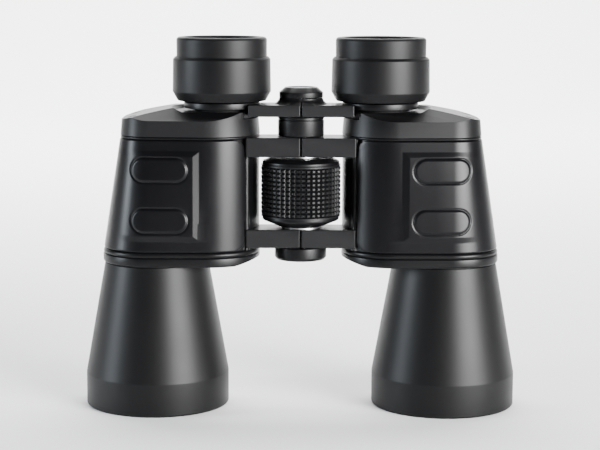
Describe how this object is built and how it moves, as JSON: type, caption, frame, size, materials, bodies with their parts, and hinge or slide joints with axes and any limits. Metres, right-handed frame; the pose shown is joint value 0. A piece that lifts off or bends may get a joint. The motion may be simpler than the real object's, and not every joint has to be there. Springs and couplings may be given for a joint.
{
  "type": "porro-prism binoculars",
  "caption": "Black porro-prism binoculars with wide objective barrels, rubber armour, folding centre hinge, focus wheel and sliding eyecups.",
  "frame": {"origin": "middle of the pair, in the plane of the optical axes, level with the objective rims it stands on", "axes": "+Z from the objectives to the eyepieces, +X across the pair to the right-hand barrel with the dioptre ring, +Y to the back; the centre hinge is on the -Y side"},
  "size_m": [0.1966, 0.0652, 0.1677],
  "materials": {
    "body_paint": "cast, painted satin black",
    "cover_paint": "cast, painted satin black",
    "barrel_paint": "cast, painted fine matt black",
    "inner_black": "dull black inside finish",
    "armour_rubber": "smooth satin rubber",
    "sleeve_rubber": "matt rubber",
    "eyecup_rubber": "soft matt rubber",
    "grip_rubber": "knurled rubber",
    "wheel_plastic": "satin",
    "hub_plastic": "satin",
    "steel": "turned",
    "spring_steel": "sheet",
    "black_steel": "blackened",
    "cast_alloy": "cast and darkened",
    "brass": "machined",
    "coated_glass": "coated, clear",
    "prism_glass": "polished"
  },
  "bodies": {
    "left_half": {"left_prism_housing": "body_paint", "left_armour": "armour_rubber", "left_prism_cover": "cover_paint", "left_end_flange": "body_paint", "left_objective_barrel": "barrel_paint", "left_objective_ring": "inner_black", "left_crown_lens": "coated_glass", "left_flint_lens": "coated_glass", "left_objective_prism": "prism_glass", "left_eyepiece_prism": "prism_glass", "left_prism_clips": "spring_steel", "left_prism_shelf": "cast_alloy", "left_cover_screws": "black_steel", "left_strap_lug": "body_paint", "left_guide_tube": "cast_alloy", "hinge_axle": "steel", "tripod_socket": "brass", "hinge_nut": "steel", "focus_tube": "body_paint", "hinge_washers": "spring_steel"},
    "right_half": {"right_prism_housing": "body_paint", "right_armour": "armour_rubber", "right_prism_cover": "cover_paint", "right_end_flange": "body_paint", "right_objective_barrel": "barrel_paint", "right_objective_ring": "inner_black", "right_crown_lens": "coated_glass", "right_flint_lens": "coated_glass", "right_objective_prism": "prism_glass", "right_eyepiece_prism": "prism_glass", "right_prism_clips": "spring_steel", "right_prism_shelf": "cast_alloy", "right_cover_screws": "black_steel", "right_strap_lug": "body_paint", "right_guide_tube": "cast_alloy"},
    "focus_wheel": {"focus_wheel_core": "wheel_plastic", "focus_wheel_grip": "grip_rubber"},
    "left_ocular": {"left_bridge_arm": "body_paint", "left_eyepiece_barrel": "inner_black", "left_field_lens": "coated_glass", "left_lens_spacer": "inner_black", "left_eye_lens": "coated_glass", "left_lock_ring": "inner_black", "left_eyepiece_sleeve": "sleeve_rubber", "focus_spindle": "steel", "bridge_cap": "hub_plastic"},
    "right_ocular": {"right_bridge_arm": "body_paint"},
    "right_lens_tube": {"right_eyepiece_barrel": "inner_black", "right_field_lens": "coated_glass", "right_lens_spacer": "inner_black", "right_eye_lens": "coated_glass", "right_lock_ring": "inner_black"},
    "dioptre": {"right_dioptre_ring": "sleeve_rubber"},
    "left_cup": {"left_eyecup": "eyecup_rubber"},
    "right_cup": {"right_eyecup": "eyecup_rubber"},
    "tripod_cover": {"tripod_cap": "hub_plastic"}
  },
  "joints": [
    {"name": "fold", "type": "hinge", "parent": "left_half", "child": "right_half", "pos_m": [0, -0.005, 0.1], "axis": [0, 0, 1], "range_deg": [0, 64]},
    {"name": "focus_turn", "type": "hinge", "parent": "left_half", "child": "focus_wheel", "pos_m": [0, -0.005, 0.1], "axis": [0, 0, 1], "range_deg": [0, 450]},
    {"name": "bridge_slide_left", "type": "slide", "parent": "left_half", "child": "left_ocular", "axis": [0, 0, 1], "range_m": [0, 0.00801]},
    {"name": "bridge_slide_right", "type": "slide", "parent": "right_half", "child": "right_ocular", "axis": [0, 0, 1], "range_m": [0, 0.00801]},
    {"name": "dioptre_turn", "type": "hinge", "parent": "right_ocular", "child": "dioptre", "pos_m": [0.0358, 0, 0.15], "axis": [0, 0, 1], "range_deg": [-150, 150]},
    {"name": "dioptre_lift", "type": "slide", "parent": "right_ocular", "child": "right_lens_tube", "axis": [0, 0, 1], "range_m": [-0.00121, 0.00121]},
    {"name": "left_eyecup_slide", "type": "slide", "parent": "left_ocular", "child": "left_cup", "axis": [0, 0, 1], "range_m": [-0.007, 0]},
    {"name": "right_eyecup_slide", "type": "slide", "parent": "right_lens_tube", "child": "right_cup", "axis": [0, 0, 1], "range_m": [-0.007, 0]},
    {"name": "tripod_cap_off", "type": "slide", "parent": "left_half", "child": "tripod_cover", "axis": [0, 0, -1], "range_m": [0, 0.045]}
  ],
  "couplings": [
    {"joint": "bridge_slide_left", "follows": "focus_turn", "m_per_rad": 0.0010186},
    {"joint": "bridge_slide_right", "follows": "focus_turn", "m_per_rad": 0.0010186},
    {"joint": "dioptre_lift", "follows": "dioptre_turn", "m_per_rad": 0.0004584}
  ]
}
